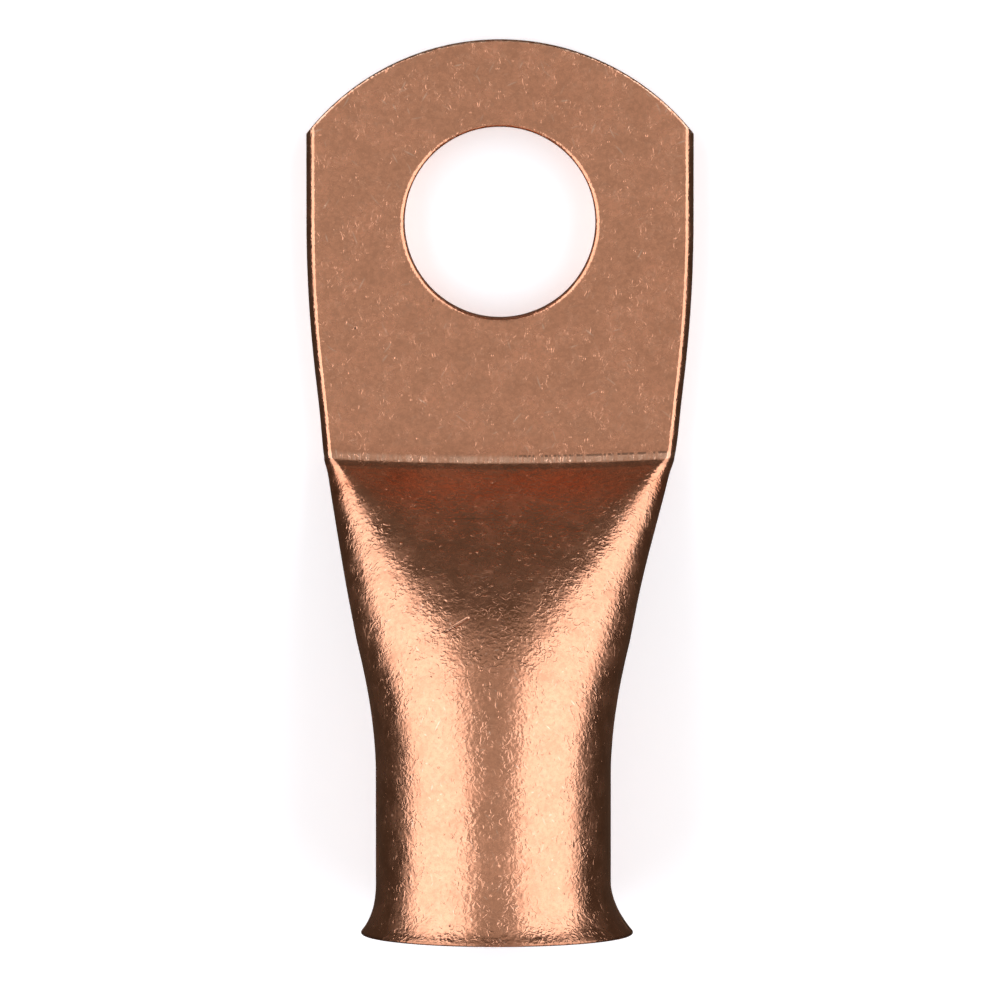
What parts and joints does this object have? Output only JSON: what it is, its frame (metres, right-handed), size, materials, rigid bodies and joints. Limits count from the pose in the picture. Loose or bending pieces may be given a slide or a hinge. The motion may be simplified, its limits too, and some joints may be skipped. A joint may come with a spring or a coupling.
{
  "type": "copper cable lug",
  "caption": "Tubular copper cable lug: a belled barrel takes a cable's strands and is crimped, a flattened palm bolts over a stud.",
  "frame": {"origin": "centre of the stud hole on the palm's back face, the face that seats on the terminal", "axes": "+Y from the mouth towards the palm's tip, +Z out of the palm's front face, +X across the palm; the lug lies on its back"},
  "size_m": [0.021, 0.0483, 0.0147],
  "materials": {
    "tumbled_copper": "tumbled satin bare copper"
  },
  "bodies": {
    "root": {"lug": "tumbled_copper"}
  },
  "joints": []
}
